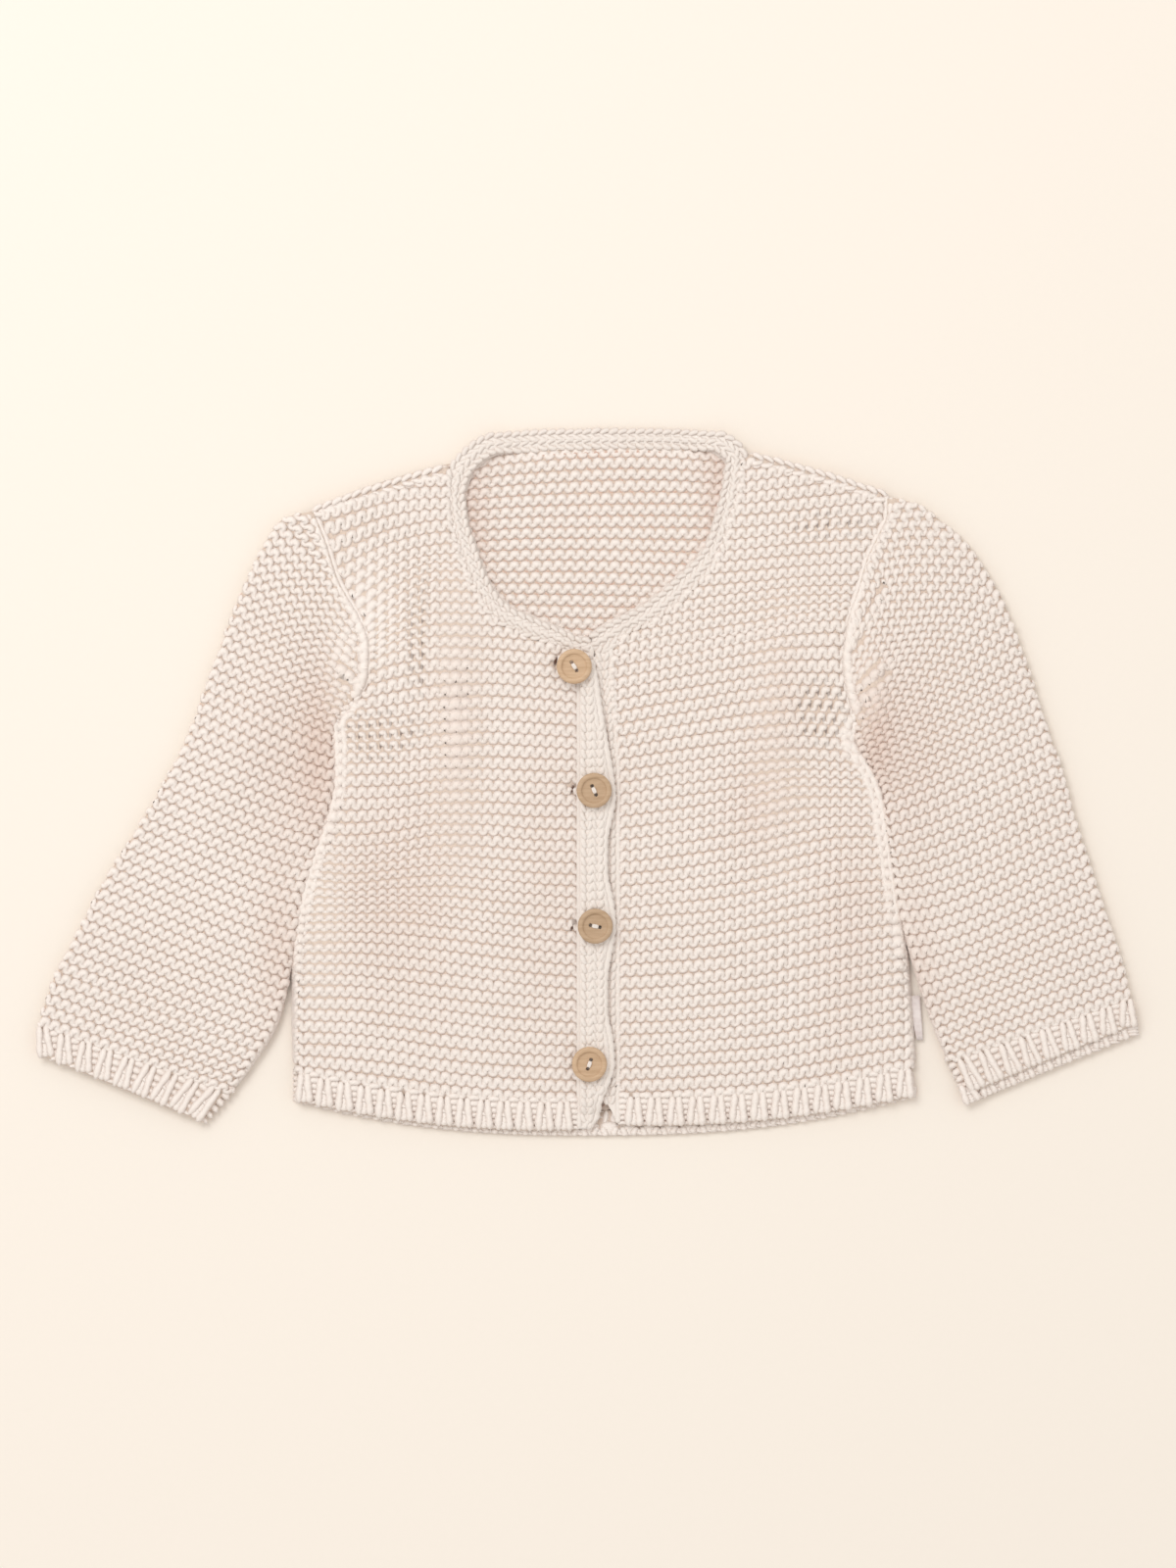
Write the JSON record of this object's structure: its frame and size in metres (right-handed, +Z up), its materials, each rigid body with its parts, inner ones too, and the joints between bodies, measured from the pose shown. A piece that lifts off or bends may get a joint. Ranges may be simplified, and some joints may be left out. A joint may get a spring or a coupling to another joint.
{
  "type": "baby cardigan",
  "caption": "Hand-knitted baby cardigan laid flat and buttoned, with garter-ridge body and sleeves, a smooth neckband and front bands, ribbed hem and cuffs, and wooden buttons.",
  "frame": {"origin": "middle of the laid-out garment's footprint, on the surface that it lies on", "axes": "+X across the garment towards the wearer's left sleeve, +Y from the hem towards the neck, +Z up from the surface through the fronts"},
  "size_m": [0.471, 0.3035, 0.0119],
  "materials": {
    "yarn": "matt cream hand-knitting yarn in garter ridges",
    "band_yarn": "matt cream hand-knitting yarn in smooth stocking stitch",
    "wood": "turned pale wood with a satin varnish",
    "satin": "woven satin tape, blank"
  },
  "bodies": {
    "root": {"back": "yarn", "right_front": "yarn", "left_front": "yarn", "right_sleeve": "yarn", "left_sleeve": "yarn", "hem_rib_back": "yarn", "hem_rib_right_front": "yarn", "hem_rib_left_front": "yarn", "right_cuff": "yarn", "left_cuff": "yarn", "neckband": "band_yarn", "button_band_top": "band_yarn", "button_band_under": "band_yarn", "button_1": "wood", "button_2": "wood", "button_3": "wood", "button_4": "wood", "side_label": "satin"}
  },
  "joints": []
}
